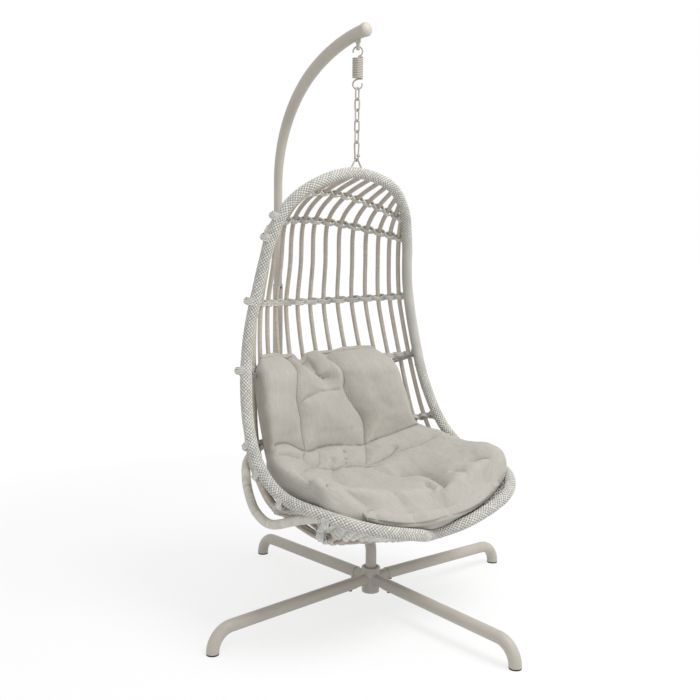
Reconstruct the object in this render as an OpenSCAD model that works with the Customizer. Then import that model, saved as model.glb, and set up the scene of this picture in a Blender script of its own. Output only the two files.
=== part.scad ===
// Hanging egg chair on a four-legged stand. Millimetres, +Z up.
// The origin is on the floor under the hub. The chair faces -Y and the mast rises behind it at +Y.

/* [Stand] */
// Distance from the hub's axis to the middle of each foot
leg_reach = 639; // [560:1:720]
// Outer diameter of a leg tube
leg_od = 40; // [34:1:42]
// Wall of a leg tube
leg_wall = 1.6; // [1:0.1:3]
// Height of a leg's centreline where it meets the hub's axis
leg_height = 90; // [84:1:100]
// Fall of a leg towards its foot, in degrees
leg_drop = 1.6; // [0:0.1:2]
// Outer diameter of the hub's socket
hub_od = 60; // [54:1:64]
// Outer diameter of the post and lower mast
mast_od = 37; // [35:0.5:38]
// Distance of the upright mast behind the hub's axis
mast_back = 544; // [520:1:580]
// Height at which the gooseneck leaves the lower mast
mast_joint_z = 1075; // [1000:1:1120]
// Outer diameter of the gooseneck at its narrow lower end
neck_lower_od = 31; // [29:0.5:31]
// Outer diameter of the gooseneck along its arm
neck_od = 42; // [38:0.5:44]
// Height at which the gooseneck starts to curve
neck_bend_z = 1446; // [1400:1:1480]
// Radius of the gooseneck's main curve
neck_r = 460; // [440:1:470]
// Radius of the flatter curve of the arm
arm_r = 650; // [640:1:660]

/* [Hanging gear] */
// Distance of the hang line behind the gooseneck's tip
hang_back = 34; // [32:1:38]
// Drop from the arm's underside to the hook's wire in the hanger boss
hang_drop = 22; // [21:1:24]
// Outer diameter of the spring
spring_od = 37; // [34:1:38]
// Diameter of the spring's wire
spring_wire = 5.2; // [4.8:0.1:5.4]
// Diameter of the chain's wire
link_wire = 5.5; // [5:0.1:5.8]
// Length between the wire centres of one chain link
link_length = 40.8; // [40:0.1:41]
// Diameter of the snap hook's rod
snap_wire = 6; // [5.5:0.1:6.2]
// Distance between the wire centres at the snap hook's two ends
snap_length = 65; // [64:0.5:66]

/* [Basket] */
// Outer diameter of the wrapped rim
rim_od = 37; // [32:1:40]
// Diameter of one wrapped slat
slat_od = 16; // [12:1:18]
// Diameter of one wrapped band
band_od = 17; // [13:1:19]
// Outer diameter of the seat hoop
hoop_od = 30; // [26:1:32]
// Width of the basket between the rim's centrelines; the whole basket follows it
basket_w = 864; // [820:1:868]
// Angle between neighbouring slats across the basket
slat_step = 9.15; // [8.8:0.05:9.4]

/* [Cushion] */
// Thickness of the seat part
seat_thick = 125; // [90:1:130]
// Thickness of the back part
back_thick = 115; // [80:1:120]

/* [Quality] */
// Facets on round parts
$fn = 48; // [32:4:96]

/* [Hidden] */
// Clearances
fit = 0.2;
seat_gap = 0.3;
pin_gap = 0.05;

// Leg: a straight run and a bend that ends upright on the foot plug's flange
plug_flange = 5;
plug_spigot = 4;
leg_start = 72;
stub_end = 116;
leg_bend_r = (leg_height - plug_flange - leg_reach * tan(leg_drop))
    / (cos(leg_drop) - (1 - sin(leg_drop)) * tan(leg_drop));
leg_run = (leg_reach - leg_bend_r * (1 - sin(leg_drop))) / cos(leg_drop);

// Hub
hub_low = 42;
hub_top = 126;
hub_floor = 5;
collar_r = 4.5;
bolt_x = 92;
bolt_head_r = 6.5;
bolt_head_h = 4;

// Lower mast: upright, bend back, slope, bend up, upright
mast_wall = 2.8;
post_bend_z = 182;
post_bend_r = 70;
rise_bend_r = 110;
post_turn = 68;
slope_y0 = post_bend_r * (1 - cos(post_turn));
slope_z0 = post_bend_z + post_bend_r * sin(post_turn);
slope_y1 = mast_back - rise_bend_r * (1 - cos(post_turn));
slope_z1 = slope_z0 + (slope_y1 - slope_y0) / tan(post_turn);
slope_run = (slope_y1 - slope_y0) / sin(post_turn);
upright_z = slope_z1 + rise_bend_r * sin(post_turn);

// Gooseneck: narrow upright, widening curve, even arm
neck_wall = 2;
neck_insert = 80;
neck_turn = 60;
arm_turn = 23;
arm_y = mast_back - neck_r * (1 - cos(neck_turn));
arm_z = neck_bend_z + neck_r * sin(neck_turn);
tip_turn = neck_turn + arm_turn;
tip_y = arm_y - arm_r * (cos(neck_turn) - cos(tip_turn));
tip_z = arm_z + arm_r * (sin(tip_turn) - sin(neck_turn));
cap_od = neck_od + 4;
cap_length = 14;
mast_screw_z = mast_joint_z - 12;
post_screw_z = 160;
screw_r = 2.4;
screw_head_r = 4.6;
screw_length = 7;

neck_rings = 16;
neck_sides = 28;
neck_lap = 0.6;
neck_inset = 0.04;

// Hang line under the arm, in whole millimetres
arm_centre_y = arm_y - arm_r * cos(neck_turn);
arm_centre_z = arm_z - arm_r * sin(neck_turn);
hang_y = round(tip_y + hang_back);
arm_rise = sqrt(pow(arm_r, 2) - pow(hang_y - arm_centre_y, 2));
arm_low = arm_centre_z + arm_rise - neck_od / 2 * arm_r / arm_rise;
hang_z = round(arm_low - hang_drop);

// Hanger boss under the arm
boss_r = 9;
boss_low = hang_z - 11;
boss_length = hang_drop + 18;
boss_hole_r = 5;
hook_turn = -40;

// Spring: two hook rings and a close-wound body
spring_r = (spring_od - spring_wire) / 2;
hook_ring_r = 15.5;
hook_arc = 285;
spring_turns = 12;
spring_pitch = 5.45;
hook_offset = 4.7;
spring_top = hang_z - 2 * hook_ring_r - hook_offset;
spring_low = spring_top - spring_turns * spring_pitch;
low_ring_z = spring_low - hook_offset - hook_ring_r;
low_hook_z = low_ring_z - hook_ring_r;

// Chain: each link's upper wire sits on the wire above it
link_count = 5;
link_r = 8.75;
link_pitch = link_length - link_wire - seat_gap;
link_top = low_hook_z + (spring_wire + link_wire) / 2 + seat_gap;
link_turn = 12;
last_link_low = link_top - (link_count - 1) * link_pitch - link_length;

// Snap hook and the bracket that it carries
snap_top = last_link_low + (link_wire + snap_wire) / 2 + seat_gap;
snap_low = snap_top - snap_length;
snap_top_r = 11;
snap_low_r = 7.5;
snap_run = snap_length - snap_top_r - snap_low_r;
snap_lean = asin((snap_top_r - snap_low_r) / snap_run);
snap_top_z = snap_top - snap_top_r;
snap_low_z = snap_low + snap_low_r;
snap_sides = 12;
snap_side = 10 * snap_length;
gate_low = 10;
gate_high = 39;
gate_pin_r = 1.4;
knuckle_r = 4.4;
tongue = 3.6;
bracket_wire = 6;
bracket_top = snap_low + (snap_wire + bracket_wire) / 2 + seat_gap;
bracket_r = 9;
bracket_lean = 30;

// The basket's outlines are drawn for this width, under a bracket that tops out at this height
outline_w = 864;
outline_top = 1513.4;
basket_scale = basket_w / outline_w;

// Rim: half of the outline from the top centre to the front centre.
// Each point is half width, distance in front of the hang line, height.
rim_points = [
    [0, 0, 1468], [150, 2, 1435], [256, -34, 1356], [307, -66, 1235], [338, -92, 1080],
    [376, -93, 905], [405, -59, 719], [426, 25, 559], [432, 165, 469], [410, 344, 447],
    [302, 438, 405], [125, 445, 355], [0, 395, 320]
];
rim_last = len(rim_points) - 1;
rim_steps = 4;
rim_sides = 16;

// Rows that shape the basket: place along the rim, centre's distance in front of the
// hang line, centre's height, fullness. The numbered bands lie on band_rows.
rows = [
    [2.42, -168, 1408, 1.8], [2.94, -283, 1313, 1.6], [3.55, -302, 1150, 1.5],
    [4.24, -320, 1015, 1.5], [4.80, -306, 905, 1.5], [5.45, -280, 790, 1.5],
    [6.10, -255, 665, 1.4], [6.72, -222, 535, 1.2], [7.32, -150, 425, 1.0],
    [8.10, 0, 330, 0.8], [9.10, 210, 280, 0.7]
];
band_rows = [0, 1, 3, 5, 7, 8, 9, 10];
basket_centre = placed([0, 0, 900]);
bracket_foot_z = placed(rim_points[0])[2] + rim_od / 2 - 1;
roof_spread = 0.246;
front_spread = 0.42;
row_margin = 0.25;
slat_steps = 3;
slat_sides = 8;
band_steps = 2;
band_sides = 8;

// Seat hoop: half of its route, from the rim's front to the back centre
hoop_points = [
    [410, 343, 440], [425, 245, 411], [432, 120, 368], [425, 34, 378], [410, -30, 412],
    [380, -97, 461], [322, -172, 500], [220, -238, 522], [110, -272, 532], [0, -284, 536]
];
hoop_sides = 12;

// Cushion: stations from the top of the back to the seat's front edge. Each is distance in front
// of the hang line, height, angle of the surface, half width, edge lift, thickness share.
cushion_stations = [
    [-255, 830, 8, 250, 70, 0.2], [-250, 774, 9, 290, 95, 0.9], [-238, 698, 12, 305, 115, 1],
    [-218, 608, 17, 312, 128, 1], [-190, 528, 26, 318, 135, 0.95], [-148, 456, 40, 335, 135, 0.95],
    [-80, 392, 56, 365, 140, 0.97], [10, 343, 74, 382, 155, 1], [120, 312, 84, 394, 165, 1],
    [225, 300, 90, 400, 168, 1.08], [318, 307.4, 98, 404, 168, 1.1], [398, 345, 106, 394, 125, 0.95],
    [432, 388, 118, 300, 75, 0.25]
];
cushion_sides = 24;

frame_colour = [0.66, 0.63, 0.57];
wicker_colour = [0.74, 0.74, 0.70];
slat_colour = [0.62, 0.59, 0.53];
cushion_colour = [0.73, 0.71, 0.67];
black = [0.08, 0.08, 0.08];

// ---------- curves ----------

// Point at u between b and c on the smooth curve through a, b, c and d
function blend4(a, b, c, d, u) = 0.5 * (2 * b + (c - a) * u + (2 * a - 5 * b + 4 * c - d) * u * u
    + (3 * b - a - 3 * c + d) * u * u * u);

function mirrored(p) = [-p[0], p[1], p[2]];

// Row frame point from an outline's half width, distance in front of the hang line and height
function placed(p) = [0, hang_y, bracket_top] + basket_scale * [p[0], -p[1], p[2] - outline_top];

// Knot of a half outline that is mirrored past both of its ends
function knot(points, i) = i < 0 ? mirrored(points[-i])
    : i >= len(points) ? mirrored(points[2 * len(points) - 2 - i]) : points[i];

// Point at t on a half outline
function along(points, t) = let (i = min(floor(t), len(points) - 2), u = t - i)
    blend4(knot(points, i - 1), knot(points, i), knot(points, i + 1), knot(points, i + 2), u);

function rim_at(t) = along(rim_points, t);

// Point of a row at an angle from the basket's centre
function row_at(row, a) = let (r = rim_at(row[0]), c = pow(max(cos(a), 0), row[3]))
    [r[0] * sin(a), r[1] + (row[1] - r[1]) * c, r[2] + (row[2] - r[2]) * c];

// Smooth open curve through points, with steps pieces between neighbours
function smooth(p, steps) = let (n = len(p)) [
    for (i = [0:n - 2], k = [0:steps - 1])
        blend4(i > 0 ? p[i - 1] : 2 * p[0] - p[1], p[i], p[i + 1],
            i < n - 2 ? p[i + 2] : 2 * p[n - 1] - p[n - 2], k / steps),
    p[n - 1]
];

function unit(v) = v / norm(v);

// Direction of a route at point i
function heading(p, i, closed) = let (n = len(p))
    closed ? unit(p[(i + 1) % n] - p[(i + n - 1) % n])
    : unit(p[min(i + 1, n - 1)] - p[max(i - 1, 0)]);

// Ring of points around point i of a route, turned by the direction away from a centre
function ring(p, i, r, sides, centre, closed) = let (
    t = heading(p, i, closed),
    out = p[i] - centre,
    a = unit(out - (out * t) * t),
    b = cross(t, a)
) [for (k = [0:sides - 1]) p[i] + r * (cos(360 * k / sides) * a + sin(360 * k / sides) * b)];

// Faces of n rings with s sides each, joined in a loop or closed at both ends
function tube_faces(n, s, closed = false) = concat(
    [for (i = [0:closed ? n - 1 : n - 2], k = [0:s - 1])
        let (j = (i + 1) % n, m = (k + 1) % s)
            each [[i * s + k, j * s + k, i * s + m], [i * s + m, j * s + k, j * s + m]]],
    closed ? [] : [[for (k = [0:s - 1]) k], [for (k = [0:s - 1]) n * s - 1 - k]]
);

// Round rod along a route
module rod(p, r, sides, centre, closed = false) {
    n = len(p);
    rings = [for (i = [0:n - 1]) each ring(p, i, r, sides, centre, closed)];
    polyhedron(points = rings, faces = tube_faces(n, sides, closed), convexity = 8);
}

// ---------- plain round shapes ----------

// Part of a torus in the XZ plane, from angle a towards angle a + turn
module bend(bend_r, tube_r, a, turn) {
    sides = $fn;
    rotate([90, 0, 0])
        rotate([0, 0, a])
            rotate_extrude(angle = turn, $fn = bend_r > 200 ? 8 * sides : sides)
                translate([bend_r, 0])
                    circle(r = tube_r, $fn = sides);
}

// The same in the YZ plane
module bend_yz(bend_r, tube_r, a, turn) {
    rotate([0, 0, 90])
        bend(bend_r, tube_r, a, turn);
}

// ---------- stand ----------

// Bend and straight run of a leg, drawn from the centre of the bend
module leg_shape(r, extra) {
    translate([leg_reach - leg_bend_r, 0, plug_flange])
        rotate([0, leg_drop, 0])
            rotate([0, -90, -90]) {
                rotate_extrude(angle = 90 - leg_drop + extra)
                    translate([leg_bend_r, 0])
                        circle(r = r);
                translate([leg_bend_r, 0, 0])
                    rotate([90, 0, 0])
                        cylinder(h = leg_run - leg_start + extra, r = r);
            }
}

// One leg; the bolt passes through its underside into the hub's stub
module leg(turn) {
    color(frame_colour)
        rotate([0, 0, turn])
            difference() {
                leg_shape(leg_od / 2, 0);
                leg_shape(leg_od / 2 - leg_wall, 1);
                translate([bolt_x, 0, leg_height - leg_od / 2 - 8])
                    cylinder(h = 16, r = 3.2);
            }
}

module hub() {
    stub_r = leg_od / 2 - leg_wall - fit;
    socket_r = mast_od / 2 + fit;
    color(frame_colour)
        difference() {
            union() {
                translate([0, 0, hub_low])
                    cylinder(h = hub_top - hub_low, r = hub_od / 2);
                translate([0, 0, hub_top])
                    rotate_extrude()
                        translate([hub_od / 2 - collar_r / 2, 0])
                            circle(r = collar_r);
                for (a = [0:90:270])
                    rotate([0, 0, a])
                        translate([0, 0, leg_height])
                            rotate([0, 90 + leg_drop, 0])
                                cylinder(h = stub_end, r = stub_r);
            }
            translate([0, 0, hub_low + hub_floor])
                cylinder(h = hub_top, r = socket_r);
            for (a = [0:90:270])
                rotate([0, 0, a]) {
                    translate([0, 0, leg_height])
                        rotate([0, 90 + leg_drop, 0])
                            translate([0, 0, hub_od / 2 + 4])
                                cylinder(h = stub_end, r = stub_r - 2.5);
                    translate([bolt_x, 0, hub_low])
                        cylinder(h = leg_height - hub_low, r = 3.2);
                }
        }
}

// Hex bolts under the legs, one at each stub
module leg_bolts() {
    seat = leg_height - bolt_x * tan(leg_drop) - leg_od / 2 / cos(leg_drop);
    color(frame_colour)
        for (a = [0:90:270])
            rotate([0, 0, a])
                translate([bolt_x, 0, seat - bolt_head_h]) {
                    cylinder(h = bolt_head_h, r = bolt_head_r, $fn = 6);
                    cylinder(h = bolt_head_h + 12, r = 3);
                }
}

module foot_plugs() {
    color(black)
        for (a = [0:90:270])
            rotate([0, 0, a])
                translate([leg_reach, 0, 0]) {
                    cylinder(h = plug_flange, r = leg_od / 2 - 0.5);
                    cylinder(h = plug_flange + plug_spigot, r = leg_od / 2 - leg_wall - fit);
                }
}

module lower_mast_shape(r, low, high) {
    translate([0, 0, low])
        cylinder(h = post_bend_z - low, r = r);
    translate([0, post_bend_r, post_bend_z])
        bend_yz(post_bend_r, r, 180 - post_turn, post_turn);
    translate([0, slope_y0, slope_z0])
        rotate([-post_turn, 0, 0])
            cylinder(h = slope_run, r = r);
    translate([0, mast_back - rise_bend_r, upright_z])
        bend_yz(rise_bend_r, r, -post_turn, post_turn);
    translate([0, mast_back, upright_z])
        cylinder(h = high - upright_z, r = r);
}

module lower_mast() {
    color(frame_colour)
        difference() {
            lower_mast_shape(mast_od / 2, hub_low + hub_floor, mast_joint_z);
            lower_mast_shape(mast_od / 2 - mast_wall, hub_low, mast_joint_z + 1);
            translate([0, mast_back - mast_od / 2 - 1, mast_screw_z])
                rotate([-90, 0, 0])
                    cylinder(h = 8, r = screw_r + 0.1);
            translate([-mast_od / 2 - 1, 0, post_screw_z])
                rotate([0, 90, 0])
                    cylinder(h = 8, r = screw_r + 0.1);
        }
}

// Widening curve; both end rings lie just inside the round tubes that carry it on
function neck_point(a, out) = [
    0,
    mast_back - neck_r * (1 - cos(a)) + out * sin(a),
    neck_bend_z + neck_r * sin(a) - out * cos(a)
];
function neck_radius(u) = (neck_lower_od + (neck_od - neck_lower_od) * u * (1.6 - 0.6 * u)) / 2;

module neck_curve(less) {
    last = neck_rings + 1;
    grid = [for (i = [-1:last], k = [0:neck_sides - 1]) let (
        u = min(max(i, 0), neck_rings) / neck_rings,
        a = neck_turn * u,
        out = i < 0 ? neck_lap : i == last ? -neck_lap : 0,
        r = neck_radius(u) - less - (u == 0 || u == 1 ? neck_inset : 0),
        b = 360 * k / neck_sides
    ) neck_point(a, out) + r * [cos(b), sin(b) * cos(a), sin(b) * sin(a)]];
    polyhedron(points = grid, faces = tube_faces(neck_rings + 3, neck_sides), convexity = 6);
}

module gooseneck() {
    color(frame_colour)
        difference() {
            union() {
                translate([0, mast_back, mast_joint_z - neck_insert])
                    cylinder(h = neck_bend_z - mast_joint_z + neck_insert, r = neck_lower_od / 2);
                neck_curve(0);
                arm_part(neck_od / 2, 0);
            }
            translate([0, mast_back, mast_joint_z - neck_insert - 1])
                cylinder(h = neck_bend_z - mast_joint_z + neck_insert + 1.01, r = neck_lower_od / 2 - neck_wall);
            neck_curve(neck_wall);
            arm_part(neck_od / 2 - neck_wall, 0.1);
            translate([0, mast_back - neck_lower_od / 2 - 1, mast_screw_z])
                rotate([-90, 0, 0])
                    cylinder(h = 8, r = screw_r + 0.1);
        }
}

// Part of the arm's even curve, with extra degrees past both ends
module arm_part(r, extra) {
    translate([0, arm_centre_y, arm_centre_z])
        bend_yz(arm_r, r, neck_turn - extra, arm_turn + 2 * extra);
}

module mast_cap() {
    spigot_r = neck_od / 2 - neck_wall - fit;
    color(frame_colour)
        translate([0, tip_y, tip_z])
            rotate([tip_turn, 0, 0])
                rotate_extrude()
                    polygon([[0, -10], [spigot_r, -10], [spigot_r, 0], [cap_od / 2, 0],
                        [cap_od / 2, cap_length - 6], [cap_od / 2 - 1.5, cap_length - 2.5],
                        [cap_od / 2 - 5, cap_length + 0.5], [cap_od / 4, cap_length + 4],
                        [0, cap_length + 5.5]]);
}

// Button-headed screw along +Z, its head outside
module screw() {
    translate([0, 0, -screw_length])
        cylinder(h = screw_length + 0.5, r = screw_r);
    rotate_extrude()
        polygon([[0, 0], [screw_head_r, 0], [screw_head_r - 0.4, 1.4], [2.6, 2.6], [0, 3]]);
}

// Screw that locks the gooseneck in the lower mast
module mast_screw() {
    color(black)
        translate([0, mast_back - mast_od / 2, mast_screw_z])
            rotate([90, 0, 0])
                screw();
}

// Screw through the side of the post
module post_screw() {
    color(frame_colour)
        translate([-mast_od / 2, 0, post_screw_z])
            rotate([0, -90, 0])
                screw();
}

// ---------- hanging gear ----------

// Boss under the arm with a flared hole for the spring's hook
module hanger_boss() {
    hole_z = hang_z + boss_hole_r - spring_wire / 2 - seat_gap;
    color(frame_colour)
        difference() {
            union() {
                translate([0, hang_y, boss_low + 4])
                    cylinder(h = boss_length, r = boss_r);
                translate([0, hang_y, boss_low])
                    rotate_extrude()
                        polygon([[0, 0], [boss_r - 4, 0], [boss_r - 1.2, 1.2], [boss_r, 4], [0, 4]]);
            }
            arm_part(neck_od / 2, 0);
            translate([0, hang_y, hole_z])
                rotate([0, 0, hook_turn]) {
                    rotate([0, 90, 0])
                        rotate_extrude()
                            polygon([[0, -20], [18, -20], [7.8, -6], [5.9, -3], [boss_hole_r, 0],
                                [5.9, 3], [7.8, 6], [18, 20], [0, 20]]);
                    for (s = [-1, 1])
                        translate([s * 16 - 10, -20, -30])
                            cube([20, 40, 40]);
                }
        }
}

// Open ring of spring wire, its gap starting at angle a
module hook_ring(z, a) {
    translate([0, 0, z])
        bend(hook_ring_r, spring_wire / 2, a, hook_arc);
}

function coil_point(t) = [spring_r * cos(360 * t), spring_r * sin(360 * t), spring_top - spring_pitch * t];

module spring() {
    coil_steps = 12;
    coil = [for (i = [0:spring_turns * coil_steps]) coil_point(i / coil_steps)];
    color(frame_colour)
        translate([0, hang_y, 0])
            rotate([0, 0, hook_turn]) {
                coil_rod(coil, spring_wire / 2, 8);
                hook_ring(hang_z - hook_ring_r, -90);
                hook_ring(low_ring_z, 90);
                for (z = [spring_top + hook_offset / 2, spring_low - hook_offset / 2])
                    translate([0, 0, z])
                        rotate([0, 90, 0])
                            cylinder(h = spring_r, r = spring_wire / 2);
            }
}

// Rod along a coil around the Z axis
module coil_rod(p, r, sides) {
    n = len(p);
    rings = [for (i = [0:n - 1]) each ring(p, i, r, sides, [0, 0, p[i][2]], false)];
    polyhedron(points = rings, faces = tube_faces(n, sides), convexity = 20);
}

// Link i, counted from the spring
module chain_link(i) {
    top = link_top - (i - 1) * link_pitch;
    r = link_wire / 2;
    run = link_length - 2 * link_r;
    color(frame_colour)
        translate([0, hang_y, top - link_length])
            rotate([0, 0, link_turn + 90 * ((i + 1) % 2)]) {
                translate([0, 0, link_length - link_r])
                    bend(link_r, r, 0, 180);
                translate([0, 0, link_r])
                    bend(link_r, r, 180, 180);
                for (s = [-1, 1])
                    translate([s * link_r, 0, link_r])
                        cylinder(h = run, r = r);
            }
}

// Point of a circle in the YZ plane around a centre on the hang line
function snap_arc(r, z, a) = [0, hang_y + r * cos(a), z + r * sin(a)];

// Straight side of the snap hook with the gate, from its low end up
function gate_line(d) = snap_arc(snap_low_r, snap_low_z, 180 + snap_lean)
    + d * [0, -sin(snap_lean), cos(snap_lean)];

snap_route = concat(
    [gate_line(gate_high)],
    [for (i = [0:12]) snap_arc(snap_top_r, snap_top_z, 180 + snap_lean - i * (180 + 2 * snap_lean) / 12)],
    [for (i = [0:10]) snap_arc(snap_low_r, snap_low_z, -snap_lean - i * (180 - 2 * snap_lean) / 10)],
    [gate_line(gate_low)]
);

// Round piece across the snap hook, on the axis of its gate
module gate_axis(h, r) {
    translate(gate_line(gate_low))
        rotate([0, 90, 0])
            cylinder(h = h, r = r, center = true);
}

module snap_hook() {
    color(frame_colour)
        difference() {
            union() {
                rod(snap_route, snap_wire / 2, snap_sides, [snap_side, hang_y, snap_low]);
                gate_axis(9, knuckle_r);
            }
            translate(gate_line(gate_low) - [tongue / 2 + fit, 10, knuckle_r - 0.6])
                cube([tongue + 2 * fit, 20, 16]);
            gate_axis(12, gate_pin_r);
        }
}

module snap_gate() {
    color(frame_colour)
        difference() {
            union() {
                gate_axis(tongue, knuckle_r - 1);
                translate(gate_line(gate_low))
                    rotate([snap_lean, 0, 0]) {
                        translate([-tongue / 2, -2, 0])
                            cube([tongue, 4, 7]);
                        translate([0, 0, 6])
                            cylinder(h = gate_high - gate_low - seat_gap - 6, r = 2.6);
                    }
            }
            gate_axis(12, gate_pin_r + pin_gap);
        }
}

module gate_pin() {
    color(frame_colour)
        gate_axis(9.6, gate_pin_r);
}

module hanger_bracket() {
    r = bracket_wire / 2;
    c = bracket_top - bracket_r;
    x0 = bracket_r * cos(bracket_lean);
    z0 = c + bracket_r * sin(bracket_lean);
    color(frame_colour)
        translate([0, hang_y, 0]) {
            translate([0, 0, c])
                bend(bracket_r, r, bracket_lean, 180 - 2 * bracket_lean);
            for (s = [-1, 1])
                translate([s * x0, 0, z0])
                    rotate([0, s * (180 - bracket_lean), 0])
                        cylinder(h = (z0 - bracket_foot_z) / cos(bracket_lean), r = r);
        }
}

// ---------- basket ----------

module rim() {
    half = [for (i = [0:rim_last * rim_steps]) placed(rim_at(i / rim_steps))];
    loop = concat(half, [for (i = [rim_last * rim_steps - 1:-1:1]) mirrored(half[i])]);
    color(wicker_colour)
        rod(loop, rim_od / 2, rim_sides, basket_centre, true);
}

module seat_hoop() {
    half = smooth(hoop_points, 3);
    route = concat(half, [for (i = [len(half) - 2:-1:0]) mirrored(half[i])]);
    color(frame_colour)
        rod([for (p = route) placed(p)], hoop_od / 2, hoop_sides, basket_centre);
}

// Band on a row, from the rim's left side round the back to its right side
module band(i) {
    row = rows[band_rows[i]];
    stops = 8 * band_steps;
    color(wicker_colour)
        rod([for (k = [-stops:stops]) let (p = row_at(row, 90 * abs(k) / stops))
            placed(k < 0 ? mirrored(p) : p)], band_od / 2, band_sides, basket_centre);
}

// Slat i, counted from the centre; minus is the left side
module slat(i) {
    a = abs(i);
    start = roof_spread * a;
    end = rim_last - front_spread * a;
    inner = [for (row = rows) if (row[0] > start + row_margin && row[0] < end - row_margin)
        row_at(row, a * slat_step)];
    half = smooth(concat([rim_at(start)], inner, [rim_at(end)]), slat_steps);
    color(slat_colour)
        rod([for (p = half) placed(i < 0 ? mirrored(p) : p)], slat_od / 2, slat_sides, basket_centre);
}

// ---------- cushion ----------

// Section of the cushion across one station: flat behind, full in front
function cushion_ring(s) = [for (k = [0:cushion_sides - 1]) let (
    a = 360 * k / cushion_sides,
    u = sign(cos(a)) * pow(abs(cos(a)), 0.6),
    full = (s[1] > 480 ? back_thick : seat_thick) * s[5],
    rise = sin(a) > 0 ? full * pow(sin(a), 0.55) : 0
) placed([s[3] * u, s[0], s[1]] + (rise + s[4] * pow(abs(u), 2.4)) * [0, cos(s[2]), sin(s[2])])];

module cushion() {
    n = len(cushion_stations);
    rings = [for (s = cushion_stations) each cushion_ring(s)];
    color(cushion_colour)
        polyhedron(points = rings, faces = tube_faces(n, cushion_sides), convexity = 8);
}

// ---------- nodes ----------

hub();
leg(-90);  // leg_front
leg(0);  // leg_right
leg(90);  // leg_rear
leg(180);  // leg_left
foot_plugs();
leg_bolts();
lower_mast();
gooseneck();
mast_cap();
mast_screw();
post_screw();
hanger_boss();
spring();
chain_link(1);  // link_1
chain_link(2);  // link_2
chain_link(3);  // link_3
chain_link(4);  // link_4
chain_link(5);  // link_5
snap_hook();
snap_gate();
gate_pin();
hanger_bracket();
rim();
seat_hoop();
band(0);  // band_1
band(1);  // band_2
band(2);  // band_3
band(3);  // band_4
band(4);  // band_5
band(5);  // band_6
band(6);  // band_7
band(7);  // band_8
slat(0);  // slat_c
slat(-1);  // slat_l1
slat(-2);  // slat_l2
slat(-3);  // slat_l3
slat(-4);  // slat_l4
slat(-5);  // slat_l5
slat(-6);  // slat_l6
slat(-7);  // slat_l7
slat(-8);  // slat_l8
slat(1);  // slat_r1
slat(2);  // slat_r2
slat(3);  // slat_r3
slat(4);  // slat_r4
slat(5);  // slat_r5
slat(6);  // slat_r6
slat(7);  // slat_r7
slat(8);  // slat_r8
cushion();
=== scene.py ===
import math

import bpy
import numpy as np
from mathutils import Matrix, Vector, noise
from mathutils.kdtree import KDTree


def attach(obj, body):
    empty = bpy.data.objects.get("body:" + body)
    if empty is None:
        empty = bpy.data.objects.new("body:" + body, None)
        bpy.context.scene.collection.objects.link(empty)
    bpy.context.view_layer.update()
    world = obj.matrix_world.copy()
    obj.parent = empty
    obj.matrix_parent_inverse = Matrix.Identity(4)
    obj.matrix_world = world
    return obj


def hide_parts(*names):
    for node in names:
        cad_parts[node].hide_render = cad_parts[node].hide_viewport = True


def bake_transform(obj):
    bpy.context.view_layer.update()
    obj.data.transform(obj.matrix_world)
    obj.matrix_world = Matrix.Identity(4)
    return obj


bl_info = {
    "name": "Hanging egg chair",
    "version": (1, 0, 0),
    "blender": (4, 5, 0),
    "location": "View3D > Sidebar > Egg chair",
    "description": "Dresses the hanging egg chair: wicker basket, padded cushion, coated stand and studio",
    "category": "Object",
}

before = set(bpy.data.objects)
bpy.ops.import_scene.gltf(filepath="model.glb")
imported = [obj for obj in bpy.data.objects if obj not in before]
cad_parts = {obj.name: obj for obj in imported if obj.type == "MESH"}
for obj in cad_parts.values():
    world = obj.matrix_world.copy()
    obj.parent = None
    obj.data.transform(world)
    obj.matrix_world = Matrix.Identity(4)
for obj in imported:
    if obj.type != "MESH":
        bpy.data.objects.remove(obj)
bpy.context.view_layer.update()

MM = 0.001
# The hang line's distance behind the hub, and the middle of the basket, in millimetres
HANG_Y = 102
BASKET_CENTRE = np.array([0.0, HANG_Y, 900.0])

# The rim's half outline in millimetres: half width, distance in front of the hang line, height
RIM = [
    (0, 0, 1468), (150, 2, 1435), (256, -34, 1356), (307, -66, 1235), (338, -92, 1080),
    (376, -93, 905), (405, -59, 719), (426, 25, 559), (432, 165, 469), (410, 344, 447),
    (302, 438, 405), (125, 445, 355), (0, 395, 320),
]
# Rows of the basket: place on the rim, distance in front at the back, height there, fullness
ROWS = [
    (2.42, -168, 1408, 1.8), (2.94, -283, 1313, 1.6), (3.55, -302, 1150, 1.5),
    (4.24, -320, 1015, 1.5), (4.80, -306, 905, 1.5), (5.45, -280, 790, 1.5),
    (6.10, -255, 665, 1.4), (6.72, -222, 535, 1.2), (7.32, -150, 425, 1.0),
    (8.10, 0, 330, 0.8), (9.10, 210, 280, 0.7),
]
# Rows that carry a band; the others only shape the slats
BAND_ROWS = [0, 1, 3, 5, 7, 8, 9, 10]
# The row that swings close past the mast is twined flatter on its outside there: the angle at which
# that ends, in degrees, and how far its strands lie out from the slats' middle, in millimetres
MAST_ROW = 9
MAST_SPAN = 35
FLAT_DEPTH = 5.4
# Distances from the slats' front ends of the rows that are twined round them under the rim
UNDER_ROWS = [28, 49, 70, 91]
# Slats on each side of the middle one, degrees from one to the next, and how far along the rim's
# outline each starts and ends beyond the one before
SIDE_SLATS = 8
SLAT_STEP = 9.15
SLAT_START_STEP = 0.246
SLAT_END_STEP = 0.42
# Strands in a weaver, sides of a strand's tube, and length of one cane along it, in millimetres
STRANDS = 4
STRAND_SIDES = 7
CANE_PITCH = 22
# The seat hoop's half outline, as the rim's
HOOP = [
    (410, 343, 440), (425, 245, 411), (432, 120, 368), (425, 34, 378), (410, -30, 412),
    (380, -97, 461), (322, -172, 500), (220, -238, 522), (110, -272, 532), (0, -284, 536),
]
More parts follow.
